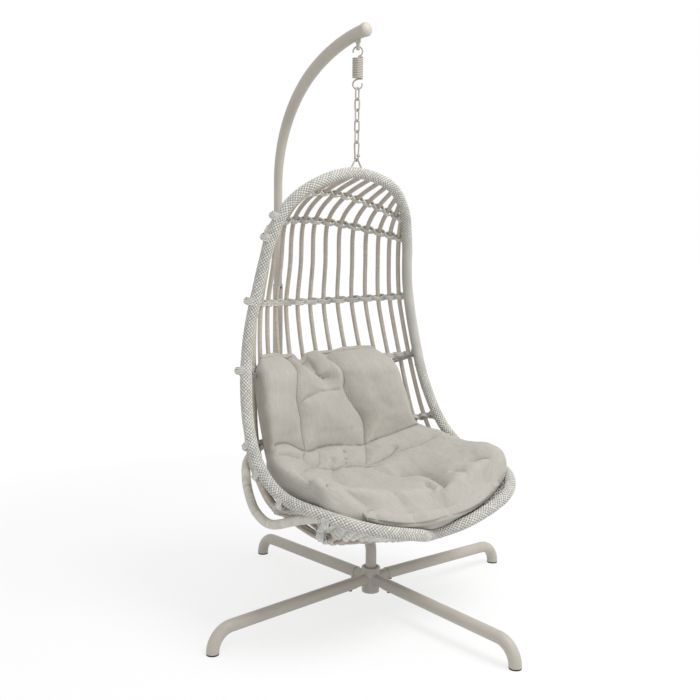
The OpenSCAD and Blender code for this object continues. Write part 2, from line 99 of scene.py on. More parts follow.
# Sections of the cushion: forward, height, lean of the surface, half width, lift of the edges, fullness
CUSHION = [
    (-255, 830, 8, 250, 70, 0.2), (-250, 774, 9, 290, 95, 0.9), (-238, 698, 12, 305, 115, 1),
    (-218, 608, 17, 312, 128, 1), (-190, 528, 26, 318, 135, 0.95), (-148, 456, 40, 335, 135, 0.95),
    (-80, 392, 56, 365, 140, 0.97), (10, 343, 74, 382, 155, 1), (120, 312, 84, 394, 165, 1),
    (225, 300, 90, 400, 168, 1.08), (318, 307.4, 98, 404, 168, 1.1), (398, 345, 106, 394, 125, 0.95),
    (432, 388, 118, 300, 75, 0.25),
]
# Creases of the cushion: depth, width, then points as (across, section)
CREASES = [
    (34, 13, [(-0.42, 0), (-0.38, 0.5), (-0.46, 2.2), (-0.43, 3.3), (-0.47, 4.9)]),
    (34, 13, [(0.27, 0.1), (0.26, 1.6), (0.25, 2.3), (0.41, 3.8), (0.31, 5.2)]),
    (58, 16, [(-0.2, -0.2), (-0.13, 0.6), (-0.01, 1.5)]),
    (20, 11, [(-0.44, 2.5), (-0.34, 2.3), (-0.08, 2.1), (0.24, 2.15)]),
    (36, 14, [(-1, 4.7), (-0.71, 4.5), (-0.47, 5), (-0.24, 4.8), (-0.02, 4.8), (0.31, 5.2)]),
    (30, 12, [(0.31, 5.2), (0.48, 5.1), (0.83, 5.1), (1, 5)]),
    (18, 10, [(-1, 5.8), (-0.8, 5.75), (-0.6, 5.9)]),
    (20, 10, [(0.42, 6.6), (0.56, 6.7), (0.7, 7), (0.92, 7.2)]),
    (24, 10, [(-0.47, 6.5), (-0.57, 5.9), (-0.5, 5)]),
    (22, 10, [(-0.47, 6.5), (-0.36, 5.9), (-0.3, 4.9)]),
    (18, 9, [(-0.27, 6.6), (-0.2, 5.9)]),
    (24, 10, [(-0.1, 6.5), (-0.02, 5.7), (0.04, 4.9)]),
    (26, 10, [(0.1, 6.8), (0.2, 6.1), (0.31, 5.2)]),
    (24, 10, [(0.1, 6.8), (0.28, 6.7), (0.42, 6.6), (0.56, 6.2)]),
    (24, 12, [(-0.72, 6.7), (-0.47, 6.5), (-0.27, 6.6), (-0.1, 6.5), (0.1, 6.8), (0.24, 7.2)]),
    (22, 10, [(-0.47, 6.5), (-0.66, 7.1), (-0.84, 8)]),
    (20, 9, [(-0.27, 6.6), (-0.38, 7.4), (-0.44, 8.5)]),
    (12, 8, [(-0.1, 6.5), (-0.1, 7.2), (-0.06, 7.8)]),
    (16, 9, [(0.1, 6.8), (0.16, 7.5), (0.27, 8.3)]),
    (34, 12, [(0.3, 7.9), (0.42, 8.6), (0.34, 9.8), (0.2, 11), (0.1, 12)]),
    (28, 10, [(0.27, 9.2), (0.12, 10.6), (-0.02, 12)]),
    (26, 10, [(-0.84, 7.9), (-0.92, 8.8), (-1, 9.6)]),
    (28, 10, [(-0.7, 8.9), (-0.84, 9.9), (-0.97, 10.8)]),
    (30, 10, [(-0.55, 9.4), (-0.74, 10.4), (-0.84, 11.4), (-0.86, 12)]),
    (30, 11, [(0.66, 9.8), (0.8, 10.8), (0.88, 12)]),
    (18, 9, [(-0.3, 10.4), (-0.36, 11.4), (-0.4, 12)]),
    (16, 9, [(0.5, 9.6), (0.5, 10.6), (0.46, 11.6)]),
    (4, 4, [(-1, 11.1), (-0.88, 11.35), (-0.74, 11.6), (-0.6, 11.75)]),
]
TUFTS = [(-0.47, 6.5), (-0.27, 6.6), (-0.1, 6.5), (0.1, 6.8)]
TUFT_DEPTH = 34
# Points across one side of the cushion and along it, rings that round each of its ends, and thread width
CUSHION_SIDES = 190
CUSHION_ROWS = 230
END_RINGS = 10
THREAD = 2.4
# Place on the rim where the cushion's ties are knotted
TIE_PLACE = 5.42

# Camera: place in metres, then turn to the right, tilt down and roll, in radians
CAMERA_PLACE = (-2.075, -2.285, 1.262)
CAMERA_TURN = (0.7111, 0.1234, -0.0121)
# Lamp: place, what it points at, and width, in metres
KEY_PLACE = (0.9, -1.9, 3.9)
KEY_AIM = (0, 0, 0.8)
KEY_SIZE = 2.4
# The floor glows white by this share near the object and fully beyond the second distance, in metres,
# so that it keeps a shadow and meets the white background
FLOOR_REACH = 40
FLOOR_SHARE = 0.7
FLOOR_GLOW = 1.03
FLOOR_FADE = (1.6, 3.2)
WHITE = (1.0, 1.0, 1.0, 1.0)

FRAME_NODES = [
    "hub", "leg_front", "leg_right", "leg_rear", "leg_left", "lower_mast", "gooseneck",
    "mast_cap", "post_screw", "hanger_boss",
]
GEAR_NODES = [
    "spring", "link_1", "link_2", "link_3", "link_4", "link_5", "snap_hook", "snap_gate",
    "gate_pin", "hanger_bracket",
]


def linear(red, green, blue):
    """Linear colour from screen values of 0 to 255."""
    return tuple(
        v / 12.92 if v <= 0.04045 else ((v + 0.055) / 1.055) ** 2.4
        for v in (red / 255, green / 255, blue / 255)
    )


# ---------- settings ----------


class EggChairFrameSettings(bpy.types.PropertyGroup):
    """Finish of the stand and the hanging gear"""

    colour: bpy.props.FloatVectorProperty(
        name="Coating", description="Colour of the powder coating on stand and gear",
        subtype="COLOR", size=3, min=0, max=1, default=linear(184, 178, 168),
    )
    plug_colour: bpy.props.FloatVectorProperty(
        name="Foot plugs", description="Colour of the plugs under the legs",
        subtype="COLOR", size=3, min=0, max=1, default=linear(38, 36, 34),
    )


class EggChairBasketSettings(bpy.types.PropertyGroup):
    """Sizes and colours of the wicker basket"""

    rim_diameter: bpy.props.FloatProperty(
        name="Rim", description="Outer diameter of the braided rim",
        subtype="DISTANCE", unit="LENGTH", default=0.037, min=0.03, max=0.04,
    )
    slat_diameter: bpy.props.FloatProperty(
        name="Slat", description="Outer diameter of a wound slat",
        subtype="DISTANCE", unit="LENGTH", default=0.016, min=0.012, max=0.018,
    )
    strand_diameter: bpy.props.FloatProperty(
        name="Strand", description="Diameter of one strand of a twined band",
        subtype="DISTANCE", unit="LENGTH", default=0.005, min=0.003, max=0.006,
    )
    hoop_diameter: bpy.props.FloatProperty(
        name="Seat hoop", description="Outer diameter of the wound hoop behind the seat",
        subtype="DISTANCE", unit="LENGTH", default=0.03, min=0.026, max=0.032,
    )
    wicker_colour: bpy.props.FloatVectorProperty(
        name="Wicker", description="Colour of the braid and the twined bands",
        subtype="COLOR", size=3, min=0, max=1, default=linear(219, 218, 211),
    )
    slat_colour: bpy.props.FloatVectorProperty(
        name="Slats", description="Colour of the wound slats",
        subtype="COLOR", size=3, min=0, max=1, default=linear(196, 187, 175),
    )
    hoop_colour: bpy.props.FloatVectorProperty(
        name="Hoop", description="Colour of the seat hoop's winding",
        subtype="COLOR", size=3, min=0, max=1, default=linear(211, 207, 197),
    )


class EggChairCushionSettings(bpy.types.PropertyGroup):
    """Shape and cloth of the cushion"""

    seat_thickness: bpy.props.FloatProperty(
        name="Seat", description="Thickness of the filling in the seat",
        subtype="DISTANCE", unit="LENGTH", default=0.125, min=0.09, max=0.13,
    )
    back_thickness: bpy.props.FloatProperty(
        name="Back", description="Thickness of the filling in the back",
        subtype="DISTANCE", unit="LENGTH", default=0.115, min=0.08, max=0.12,
    )
    fill: bpy.props.FloatProperty(
        name="Fill", description="How tightly the cushion is stuffed",
        subtype="FACTOR", default=0.7, min=0, max=1,
    )
    colour: bpy.props.FloatVectorProperty(
        name="Cloth", description="Colour of the cushion's cloth",
        subtype="COLOR", size=3, min=0, max=1, default=linear(182, 178, 169),
    )


class EggChairStageSettings(bpy.types.PropertyGroup):
    """Camera and light"""

    lens: bpy.props.FloatProperty(
        name="Lens", description="Focal length of the camera",
        subtype="DISTANCE_CAMERA", unit="CAMERA", default=47.77, min=20, max=120,
    )
    key_power: bpy.props.FloatProperty(
        name="Key light", description="Power of the large soft lamp",
        subtype="POWER", unit="POWER", default=95, min=0, max=1000,
    )
    sky_strength: bpy.props.FloatProperty(
        name="Sky", description="Strength of the even light from all round",
        default=0.76, min=0, max=3,
    )


SETTINGS = {
    "egg_chair_frame": EggChairFrameSettings,
    "egg_chair_basket": EggChairBasketSettings,
    "egg_chair_cushion": EggChairCushionSettings,
    "egg_chair_stage": EggChairStageSettings,
}


# ---------- shader maths ----------


class Field:
    """A number or colour that varies over a surface, with Math nodes behind its operators."""

    def __init__(self, finish, socket):
        self.finish = finish
        self.socket = socket

    def math(self, operation, *others):
        values = dict(enumerate((self,) + others))
        return self.finish.node("ShaderNodeMath", {"operation": operation}, values)

    def __add__(self, other):
        return self.math("ADD", other)

    __radd__ = __add__

    def __sub__(self, other):
        return self.math("SUBTRACT", other)

    def __rsub__(self, other):
        return self.finish.node("ShaderNodeMath", {"operation": "SUBTRACT"}, {0: other, 1: self})

    def __mul__(self, other):
        return self.math("MULTIPLY", other)

    __rmul__ = __mul__

    def __truediv__(self, other):
        return self.math("DIVIDE", other)

    def __pow__(self, other):
        return self.math("POWER", other)

    def __mod__(self, other):
        return self.math("FLOORED_MODULO", other)

    def fraction(self):
        return self.math("FRACT")

    def floor(self):
        return self.math("FLOOR")

    def sine(self):
        return self.math("SINE")

    def step(self, low, high):
        """0 below low, 1 above high, smooth between."""
        return self.finish.node(
            "ShaderNodeMapRange", {"interpolation_type": "SMOOTHSTEP"},
            {"Value": self, "From Min": low, "From Max": high},
        )


class Nodes:
    """The nodes of one material or of the world."""

    def __init__(self, tree):
        self.tree = tree
        tree.nodes.clear()

    def node(self, kind, settings, values, output=0):
        """A node of this kind with its settings and its inputs' values or links, as one of its outputs."""
        made = self.tree.nodes.new(kind)
        for key, value in settings.items():
            setattr(made, key, value)
        for key, value in values.items():
            if isinstance(value, Field):
                self.tree.links.new(value.socket, made.inputs[key])
            else:
                made.inputs[key].default_value = value
        return Field(self, made.outputs[output]) if output is not None else made

    def seen(self):
        """1 for what the camera sees itself, or in a mirror or through glass."""
        rays = [self.node("ShaderNodeLightPath", {}, {}, name)
                for name in ("Is Camera Ray", "Is Glossy Ray", "Is Transmission Ray")]
        return rays[0].math("MAXIMUM", rays[1]).math("MAXIMUM", rays[2])

    def end(self, kind, first, second, factor):
        """Sends a mix of two shaders to the output."""
        mixed = self.node("ShaderNodeMixShader", {}, {0: factor, 1: first, 2: second})
        self.node(kind, {}, {0: mixed}, None)


class Finish(Nodes):
    """A material with one Principled surface."""

    def __init__(self, name, roughness, sheen=0.0, coat=0.0):
        self.material = bpy.data.materials.new(name)
        self.material.use_nodes = True
        super().__init__(self.material.node_tree)
        self.surface = self.tree.nodes.new("ShaderNodeBsdfPrincipled")
        self.surface.inputs["Roughness"].default_value = roughness
        self.surface.inputs["Sheen Weight"].default_value = sheen
        self.surface.inputs["Coat Weight"].default_value = coat
        output = self.tree.nodes.new("ShaderNodeOutputMaterial")
        self.tree.links.new(self.surface.outputs[0], output.inputs[0])

    def place(self):
        """Position on the object, in metres."""
        return self.node("ShaderNodeTexCoord", {}, {}, "Object")

    def wrap(self):
        """Pattern counts around and along a wound or braided piece."""
        both = self.node("ShaderNodeUVMap", {"uv_map": "Wrap"}, {})
        parts = self.tree.nodes.new("ShaderNodeSeparateXYZ")
        self.tree.links.new(both.socket, parts.inputs[0])
        return Field(self, parts.outputs[0]), Field(self, parts.outputs[1])

    def noise(self, scale, detail=2.0, place=None, stretch=None):
        where = place or self.place()
        if stretch:
            where = self.node("ShaderNodeVectorMath", {"operation": "MULTIPLY"}, {0: where, 1: stretch})
        return self.node("ShaderNodeTexNoise", {}, {"Vector": where, "Scale": scale, "Detail": detail})

    def random(self, *values):
        """One random number for each set of whole numbers."""
        where = self.node("ShaderNodeCombineXYZ", {}, dict(enumerate(values)))
        return self.node("ShaderNodeTexWhiteNoise", {"noise_dimensions": "3D"}, {"Vector": where})

    def mix(self, factor, first, second):
        first, second = (c if isinstance(c, Field) else tuple(c)[:3] + (1.0,) for c in (first, second))
        return self.node("ShaderNodeMix", {"data_type": "RGBA"}, {0: factor, 6: first, 7: second}, 2)

    def attribute(self, name):
        return self.node("ShaderNodeAttribute", {"attribute_name": name}, {}, "Fac")

    def feed(self, colour=None, roughness=None):
        for key, value in (("Base Color", colour), ("Roughness", roughness)):
            if isinstance(value, Field):
                self.tree.links.new(value.socket, self.surface.inputs[key])

    def bump(self, height, distance, strength=1.0):
        made = self.node("ShaderNodeBump", {}, {"Height": height, "Distance": distance, "Strength": strength})
        self.tree.links.new(made.socket, self.surface.inputs["Normal"])


def tone(colour, amount):
    """The colour made darker (below 1) or lighter (above 1)."""
    return tuple(min(1.0, c * amount) for c in tuple(colour)[:3])


def coated_metal(name, colour):
    """Powder coating: fine orange peel and slightly uneven gloss."""
    finish = Finish(name, 0.42)
    cloud = finish.noise(7.0, 3.0)
    grain = finish.noise(900.0, 1.0)
    peel = finish.noise(420.0, 1.0)
    base = finish.mix(cloud.step(0.3, 0.7), tone(colour, 0.96), tone(colour, 1.04))
    finish.feed(finish.mix(grain.step(0.62, 0.8) * 0.5, base, tone(colour, 0.8)), 0.36 + cloud * 0.14)
    finish.bump(peel, 0.0002, 0.15)
    return finish.material


def dark_steel():
    """Dark plated screws with faint turning marks."""
    finish = Finish("Screw_steel", 0.4)
    finish.surface.inputs["Metallic"].default_value = 0.8
    turned = finish.noise(600.0, 2.0, stretch=(1, 1, 6))
    finish.feed(finish.mix(turned, linear(62, 60, 58), linear(96, 92, 88)), 0.3 + turned * 0.25)
    finish.bump(turned, 0.0001)
    return finish.material


def moulded_plastic(colour):
    """Matt moulded plastic with a fine grain."""
    finish = Finish("Foot_plug_plastic", 0.6)
    grain = finish.noise(500.0, 2.0)
    finish.feed(finish.mix(grain, tone(colour, 0.8), tone(colour, 1.3)), 0.5 + grain * 0.25)
    finish.bump(grain, 0.0002)
    return finish.material


def braid_cover(colour):
    """Diagonal plain weave of flat strands, with painted shade in the gaps between them."""
    finish = Finish("Rim_braid", 0.55)
    around, along = finish.wrap()
    first, second = around + along, around - along
    across_first, across_second = first.fraction() * 2 - 1, second.fraction() * 2 - 1
    round_first, round_second = 1 - across_first ** 2, 1 - across_second ** 2
    over = (first.floor() + second.floor()) % 2
    height_first = round_second * (0.45 + round_first * 0.55)
    height_second = round_first * (0.45 + round_second * 0.55)
    height = height_first * over + height_second * (1 - over)
    strand_second = finish.random(second.floor(), over, 1)
    strand_first = finish.random(first.floor(), over, 2)
    strand = strand_second * over + strand_first * (1 - over)
    wear = finish.noise(60.0, 3.0)
    streak = finish.noise(900.0, 2.0)
    light = finish.mix(strand, tone(colour, 0.78), tone(colour, 1.08))
    light = finish.mix(streak.step(0.35, 0.7) * 0.35, light, tone(colour, 0.72))
    light = finish.mix(wear.step(0.5, 0.75) * 0.35, light, tone(colour, 0.8))
    # Painted shade: the gaps between the strands take a dark colour.
    gap_shade = 1 - height.step(0.08, 0.5)
    dark = finish.mix(wear, linear(84, 81, 73), linear(128, 124, 114))
    finish.feed(finish.mix(gap_shade, light, dark), 0.5 + gap_shade * 0.3)
    finish.bump(height + streak * 0.15, 0.0022, 0.9)
    return finish.material


def wound_cover(name, colour, contrast):
    """Thin strand wound round and round, each turn a low ridge, with painted shade in the grooves between
    turns.
    """
    finish = Finish(name, 0.5)
    around, along = finish.wrap()
    turn = along + around
    across = turn.fraction() * 2 - 1
    height = 1 - across ** 2
    shade = finish.random(turn.floor(), 3, 1)
    cloud = finish.noise(24.0, 3.0)
    fibre = finish.noise(1100.0, 2.0)
    base = finish.mix(shade, tone(colour, 1 - contrast), tone(colour, 1 + contrast))
    base = finish.mix(cloud.step(0.35, 0.75) * 0.5, base, tone(colour, 0.86))
    base = finish.mix(fibre.step(0.5, 0.75) * 0.3, base, tone(colour, 1.12))
    # Painted shade: the grooves between the turns are darkened towards 0.42 of the colour.
    groove_shade = 1 - height.step(0.0, 0.35)
    finish.feed(finish.mix(groove_shade * 0.55, base, tone(colour, 0.42)), 0.42 + groove_shade * 0.3)
    finish.bump(height + fibre * 0.1, 0.0009, 0.7)
    return finish.material


def strand_cover(colour):
    """Split cane of the twined bands, with fine fibre, darker patches and a tone that varies from cane to
    cane.
    """
    finish = Finish("Band_strands", 0.5)
    around, along = finish.wrap()
    fibre = finish.noise(700.0, 2.0)
    patch = finish.noise(45.0, 3.0)
    joint = finish.random(along.floor(), around.floor(), 4)
    base = finish.mix(joint, tone(colour, 0.78), tone(colour, 1.06))
    base = finish.mix(fibre.step(0.4, 0.75) * 0.4, base, tone(colour, 0.66))
    base = finish.mix(patch.step(0.5, 0.72) * 0.5, base, tone(colour, 0.7))
    finish.feed(base, 0.45 + fibre * 0.25)
    finish.bump(fibre, 0.0005, 0.6)
    return finish.material


def linen_cloth(name, colour):
    """Melange linen: warp and weft of uneven threads, with painted shade in the creases, round the tufts and
    between the threads.
    """
    finish = Finish(name, 0.85, sheen=0.25)
    across, along = finish.wrap()
    warp = ((across * math.tau).sine() + 1) * 0.5
    weft = ((along * math.tau).sine() + 1) * 0.5
    over = (across.floor() + along.floor()) % 2
    weave = warp * over + weft * (1 - over)
    thread_across = finish.random(across.floor(), (along * 0.12).floor(), 5)
    thread_along = finish.random((across * 0.12).floor(), along.floor(), 6)
    slub = finish.noise(230.0, 3.0)
    cloud = finish.noise(9.0, 3.0)
    light = finish.mix(thread_across, tone(colour, 0.9), tone(colour, 1.08))
    light = finish.mix(thread_along * 0.5, light, tone(colour, 0.93))
    light = finish.mix(slub.step(0.45, 0.7) * 0.3, light, tone(colour, 0.84))
    light = finish.mix(cloud.step(0.35, 0.7) * 0.2, light, tone(colour, 0.93))
    # Painted shade: the cloth darkens between the threads of the weave.
    light = finish.mix((1 - weave.step(0.0, 0.5)) * 0.22, light, tone(colour, 0.6))
    # Painted shade: near the creases and tufts the cloth darkens towards a third of its colour.
    crease_shade = finish.attribute("crease_shade")
    finish.feed(finish.mix(crease_shade.step(0.1, 0.9) * 0.72, light, tone(colour, 0.34)), 0.8 + slub * 0.15)
    finish.bump(weave * 0.7 + slub * 0.8, 0.0006, 0.6)
    return finish.material


# ---------- shapes ----------


def blend4(a, b, c, d, u):
    """Smooth curve from b to c that leaves a and heads for d."""
    return 0.5 * (2 * b + (c - a) * u + (2 * a - 5 * b + 4 * c - d) * u * u
                  + (3 * b - a - 3 * c + d) * u * u * u)


def smooth(points, steps):
    """Smooth open curve through points, with steps pieces between neighbours."""
    p = np.asarray(points, float)
    p = np.vstack([2 * p[0] - p[1], p, 2 * p[-1] - p[-2]])
    u = (np.arange(steps) / steps)[:, None]
    parts = [blend4(p[i], p[i + 1], p[i + 2], p[i + 3], u) for i in range(len(p) - 3)]
    return np.vstack(parts + [p[-2:-1]])


def rim_at(t):
    """Point on the rim's half outline; it is mirrored past both ends."""
    last = len(RIM) - 1

    def knot(i):
        flip = i < 0 or i > last
        p = np.array(RIM[-i if i < 0 else 2 * last - i if i > last else i], float)
        return p * (-1, 1, 1) if flip else p

    i = min(int(t), last - 1)
    return blend4(knot(i - 1), knot(i), knot(i + 1), knot(i + 2), t - i)


def row_at(row, angle):
    """Point of a row at an angle in degrees from the basket's back; minus is its left side."""
    rim, a = rim_at(row[0]), math.radians(abs(angle))
    share = max(math.cos(a), 0) ** row[3]
    side = math.copysign(1, angle)
    return np.array([side * rim[0] * math.sin(a), rim[1] + (row[1] - rim[1]) * share,
                     rim[2] + (row[2] - rim[2]) * share])


def placed(points):
    """Points in the chair's frame from half width, distance in front and height."""
    p = np.asarray(points, float)
    return np.stack([p[..., 0], HANG_Y - p[..., 1], p[..., 2]], -1)


def unit(v):
    """Vectors at length 1."""
    return v / np.linalg.norm(v, axis=-1, keepdims=True)


def heading(route, closed=False):
    """Direction of the route at each of its points."""
    if closed:
        return unit(np.roll(route, -1, 0) - np.roll(route, 1, 0))
    return unit(np.vstack([route[1:2] - route[:1], route[2:] - route[:-2], route[-1:] - route[-2:-1]]))


def lengths(route):
    """Distance run along the route at each of its points."""
    return np.concatenate([[0], np.cumsum(np.linalg.norm(np.diff(route, axis=0), axis=1))])


def across(route, closed=False, centre=BASKET_CENTRE):
    """Directions along a route, away from the basket's centre, and square to both."""
    along = heading(route, closed)
    out = route - centre
    out = unit(out - (out * along).sum(1, keepdims=True) * along)
    return along, out, np.cross(along, out)


def tube(route, radius, sides, around=1, pitch=10.0, closed=False, relief=None,
         centre=BASKET_CENTRE, flat=1.0):
    """Round tube along a route: points, faces and pattern counts around and along."""
    route = np.asarray(route, float)
    n = len(route)
    _, out, side = across(route, closed, centre)
    ends = np.vstack([route, route[:1]]) if closed else route
    run = lengths(ends)
    count = max(1, round(run[-1] / pitch)) if closed else run[-1] / pitch
    v = run / run[-1] * count
    angle = np.arange(sides) / sides * math.tau
    grow = radius if relief is None else radius + relief(
        around * np.arange(sides)[None, :] / sides, v[:n, None])
    grow = np.broadcast_to(np.asarray(grow, float).reshape(-1, 1) if np.ndim(grow) == 1 else grow, (n, sides))
    points = (route[:, None] + flat * grow[..., None] * np.cos(angle)[None, :, None] * out[:, None]
              + grow[..., None] * np.sin(angle)[None, :, None] * side[:, None]).reshape(-1, 3)
    rows = np.arange(n if closed else n - 1)
    i, k = (g.ravel() for g in np.meshgrid(rows, np.arange(sides), indexing="ij"))
    j, m = (i + 1) % n, (k + 1) % sides
    faces = np.stack([i * sides + k, i * sides + m, j * sides + m, j * sides + k], 1)
    u0, u1 = k * around / sides, (k + 1) * around / sides
    v0, v1 = v[i], v[i + 1]
    uv = np.stack([u0, v0, u1, v0, u1, v1, u0, v1], 1).reshape(-1, 2)
    return points, faces, uv


def joined(parts):
    """Several shapes as one."""
    points, faces, uvs, base = [], [], [], 0
    for p, f, uv in parts:
        points.append(p)
        faces.append(f + base)
        uvs.append(uv)
        base += len(p)
    return np.vstack(points), np.vstack(faces), np.vstack(uvs)


def piece(name, shape, material, body="basket_unit", stands_for=()):
    """A mesh object in the scene that rides on a body."""
    points, faces, uv = shape
    mesh = bpy.data.meshes.new(name)
    mesh.vertices.add(len(points))
    mesh.vertices.foreach_set("co", (np.asarray(points) * MM).astype(np.float32).ravel())
    mesh.loops.add(faces.size)
    mesh.loops.foreach_set("vertex_index", faces.astype(np.int32).ravel())
    mesh.polygons.add(len(faces))
    mesh.polygons.foreach_set("loop_start", np.arange(0, faces.size, faces.shape[1], dtype=np.int32))
    mesh.polygons.foreach_set("loop_total", np.full(len(faces), faces.shape[1], dtype=np.int32))
    mesh.update(calc_edges=True)
    mesh.validate()
    mesh.uv_layers.new(name="Wrap").data.foreach_set("uv", uv.astype(np.float32).ravel())
    mesh.polygons.foreach_set("use_smooth", np.ones(len(mesh.polygons), bool))
    mesh.materials.append(material)
    made = bpy.data.objects.new(name, mesh)
    bpy.context.scene.collection.objects.link(made)
    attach(made, body)
    if stands_for:
        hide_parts(*stands_for)
    return made


def dress(nodes, material):
    """Gives packed pieces their material."""
    for name in nodes:
        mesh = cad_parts[name].data
        mesh.materials.clear()
        mesh.materials.append(material)


# ---------- operators ----------


class DressStand(bpy.types.Operator):
    """Coat the stand and give its screws and foot plugs their finish"""

    bl_idname = "egg_chair.stand"
    bl_label = "Stand"

    def execute(self, context):
        settings = context.scene.egg_chair_frame
        dress(FRAME_NODES, coated_metal("Stand_coating", settings.colour))
        dress(["mast_screw", "leg_bolts"], dark_steel())
        dress(["foot_plugs"], moulded_plastic(settings.plug_colour))
        return {"FINISHED"}


class DressGear(bpy.types.Operator):
    """Coat the spring, the chain, the snap hook and the bracket"""

    bl_idname = "egg_chair.gear"
    bl_label = "Hanging gear"

    def execute(self, context):
        coating = coated_metal("Gear_coating", tone(context.scene.egg_chair_frame.colour, 0.98))
        dress(GEAR_NODES, coating)
        coils = bpy.data.objects.new("spring_coils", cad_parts["spring"].data.copy())
        context.scene.collection.objects.link(coils)
        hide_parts("spring")
        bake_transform(coils)
        return {"FINISHED"}


def braid_relief(around, along):
    """Height of the rim's diagonal weave, in millimetres."""
    first, second = around + along, around - along
    round_first = 1 - (2 * (first % 1) - 1) ** 2
    round_second = 1 - (2 * (second % 1) - 1) ** 2
    over = (np.floor(first + 1e-6) + np.floor(second + 1e-6)) % 2
    height = np.where(over > 0.5, round_second * (0.45 + round_first * 0.55),
                      round_first * (0.45 + round_second * 0.55))
    return 2.2 * height - 1.4


class BuildRim(bpy.types.Operator):
    """Braid the rim of the basket"""

    bl_idname = "egg_chair.rim"
    bl_label = "Rim"

    def execute(self, context):
        settings = context.scene.egg_chair_basket
        steps = 78
        last = len(RIM) - 1
        half = placed([rim_at(i / steps) for i in range(last * steps + 1)])
        loop = np.vstack([half, (half[1:-1] * (-1, 1, 1))[::-1]])
        shape = tube(loop, settings.rim_diameter / MM / 2, 56, around=10, pitch=11.6, closed=True,
                     relief=braid_relief)
        piece("rim_braid", shape, braid_cover(settings.wicker_colour), stands_for=["rim"])
        return {"FINISHED"}


class BuildSlats(bpy.types.Operator):
    """Wind the seventeen slats"""

    bl_idname = "egg_chair.slats"
    bl_label = "Slats"

    def execute(self, context):
        settings = context.scene.egg_chair_basket
        cover = wound_cover("Slat_winding", settings.slat_colour, 0.09)
        for i in range(-SIDE_SLATS, SIDE_SLATS + 1):
            name = "slat_c" if i == 0 else f"slat_{'l' if i < 0 else 'r'}{abs(i)}"
            route = slat_route(abs(i), 10) * (-1 if i < 0 else 1, 1, 1)
            shape = tube(placed(route), settings.slat_diameter / MM / 2, 16, pitch=3.2)
            piece(f"{name}_wound", shape, cover, stands_for=[name])
        return {"FINISHED"}


def slat_route(i, steps):
    """Half of the basket's slat i, from the rim's top to its front."""
    start, end = SLAT_START_STEP * i, len(RIM) - 1 - SLAT_END_STEP * i
    inner = [row_at(row, i * SLAT_STEP) for row in ROWS if start + 0.25 < row[0] < end - 0.25]
    return smooth([rim_at(start)] + inner + [rim_at(end)], steps)


def under_row(back):
    """Route across the slats at a distance behind their front ends, and its count of half twists."""
    spots = []
    for i in range(SIDE_SLATS + 1):
        line = slat_route(i, 24)
        run = lengths(line)
        spots.append([np.interp(run[-1] - back, run, line[:, axis]) for axis in range(3)])
    spots = np.array(spots)
    both = np.vstack([spots[:0:-1] * (-1, 1, 1), spots])
    return placed(smooth(both, 24)), np.arange(2 * SIDE_SLATS * 24 + 1) / 12 - 2 * SIDE_SLATS


def twined_strands(route, count, radius, slat_radius, most=np.inf):
    """Two weavers of four strands that pass before and behind the slats in turn, at most so far out."""
    _, out, up = across(route)
    phase = count * math.pi
    parts = []
    for weaver in (0, math.pi):
        swing = np.cos(phase + weaver)
        depth = np.minimum((slat_radius + radius) * np.sign(swing) * np.abs(swing) ** 0.6, most)
        pinch = 0.8 + 0.3 * np.sin(phase) ** 2
        rise = 2.4 * np.sin(phase + weaver)
        for k in range(STRANDS):
            offset = (k - (STRANDS - 1) / 2) * radius * 1.95
            bulge = 0.6 * radius * np.sin(phase + weaver) * (1 if k % 2 else -1) * 0.4
            centre = route + out * (depth + bulge)[:, None] + up * (offset * pinch + rise)[:, None]
            parts.append(tube(centre, radius, STRAND_SIDES, pitch=CANE_PITCH))
    return parts


def end_wrap(row, side, radius, rim_radius):
    """The weavers' tail: a wound knob that stands out behind the rim."""
    spots = [rim_at(row[0] + step) for step in (-0.03, 0, 0.03)]
    near, here, far = (placed(p * (side, 1, 1)) for p in spots)
    along = unit(far - near)
    out = np.array([side * 1.0, 0.85, 0.0] if row[0] < 6 else [side * 0.4, 0.4, -1.0])
    out = unit(out - out.dot(along) * along)
    third = np.cross(along, out)
    parts = []
    for turns, reach in ((5, 7.0), (4, 12.5), (2.5, 17.0)):
        t = np.linspace(-turns / 2, turns / 2, int(turns * 20) + 1)
        angle = t * math.tau
        centre = here + along * (t * radius * 2.0)[:, None] + out * reach
        loop = centre + rim_radius * (np.cos(angle)[:, None] * out + 0.86 * np.sin(angle)[:, None] * third)
        parts.append(tube(loop, radius, STRAND_SIDES, pitch=CANE_PITCH, centre=here))
    return parts


class BuildBands(bpy.types.Operator):
    """Twine the eight bands round the slats and the rim"""

    bl_idname = "egg_chair.bands"
    bl_label = "Bands"

    def execute(self, context):
        settings = context.scene.egg_chair_basket
        cover = strand_cover(settings.wicker_colour)
        radius, slat_radius, rim_radius = (
            diameter / MM / 2
            for diameter in (settings.strand_diameter, settings.slat_diameter, settings.rim_diameter)
        )
        angles = np.linspace(-90, 90, 321)
        for i, index in enumerate(BAND_ROWS):
            row = ROWS[index]
            route = placed([row_at(row, a if a else 1e-6) for a in angles])
            near_mast = (index == MAST_ROW) & (np.abs(angles) < MAST_SPAN)
            most = np.where(near_mast, FLAT_DEPTH, np.inf)
            parts = twined_strands(route, angles / SLAT_STEP, radius, slat_radius, most)
            if index == BAND_ROWS[-1]:
                for back in UNDER_ROWS:
                    route, count = under_row(back)
                    parts += twined_strands(route, count, radius, slat_radius)
            for side in (-1, 1):
                parts += end_wrap(row, side, radius, rim_radius)
            piece(f"band_{i + 1}_twined", joined(parts), cover, stands_for=[f"band_{i + 1}"])
        return {"FINISHED"}


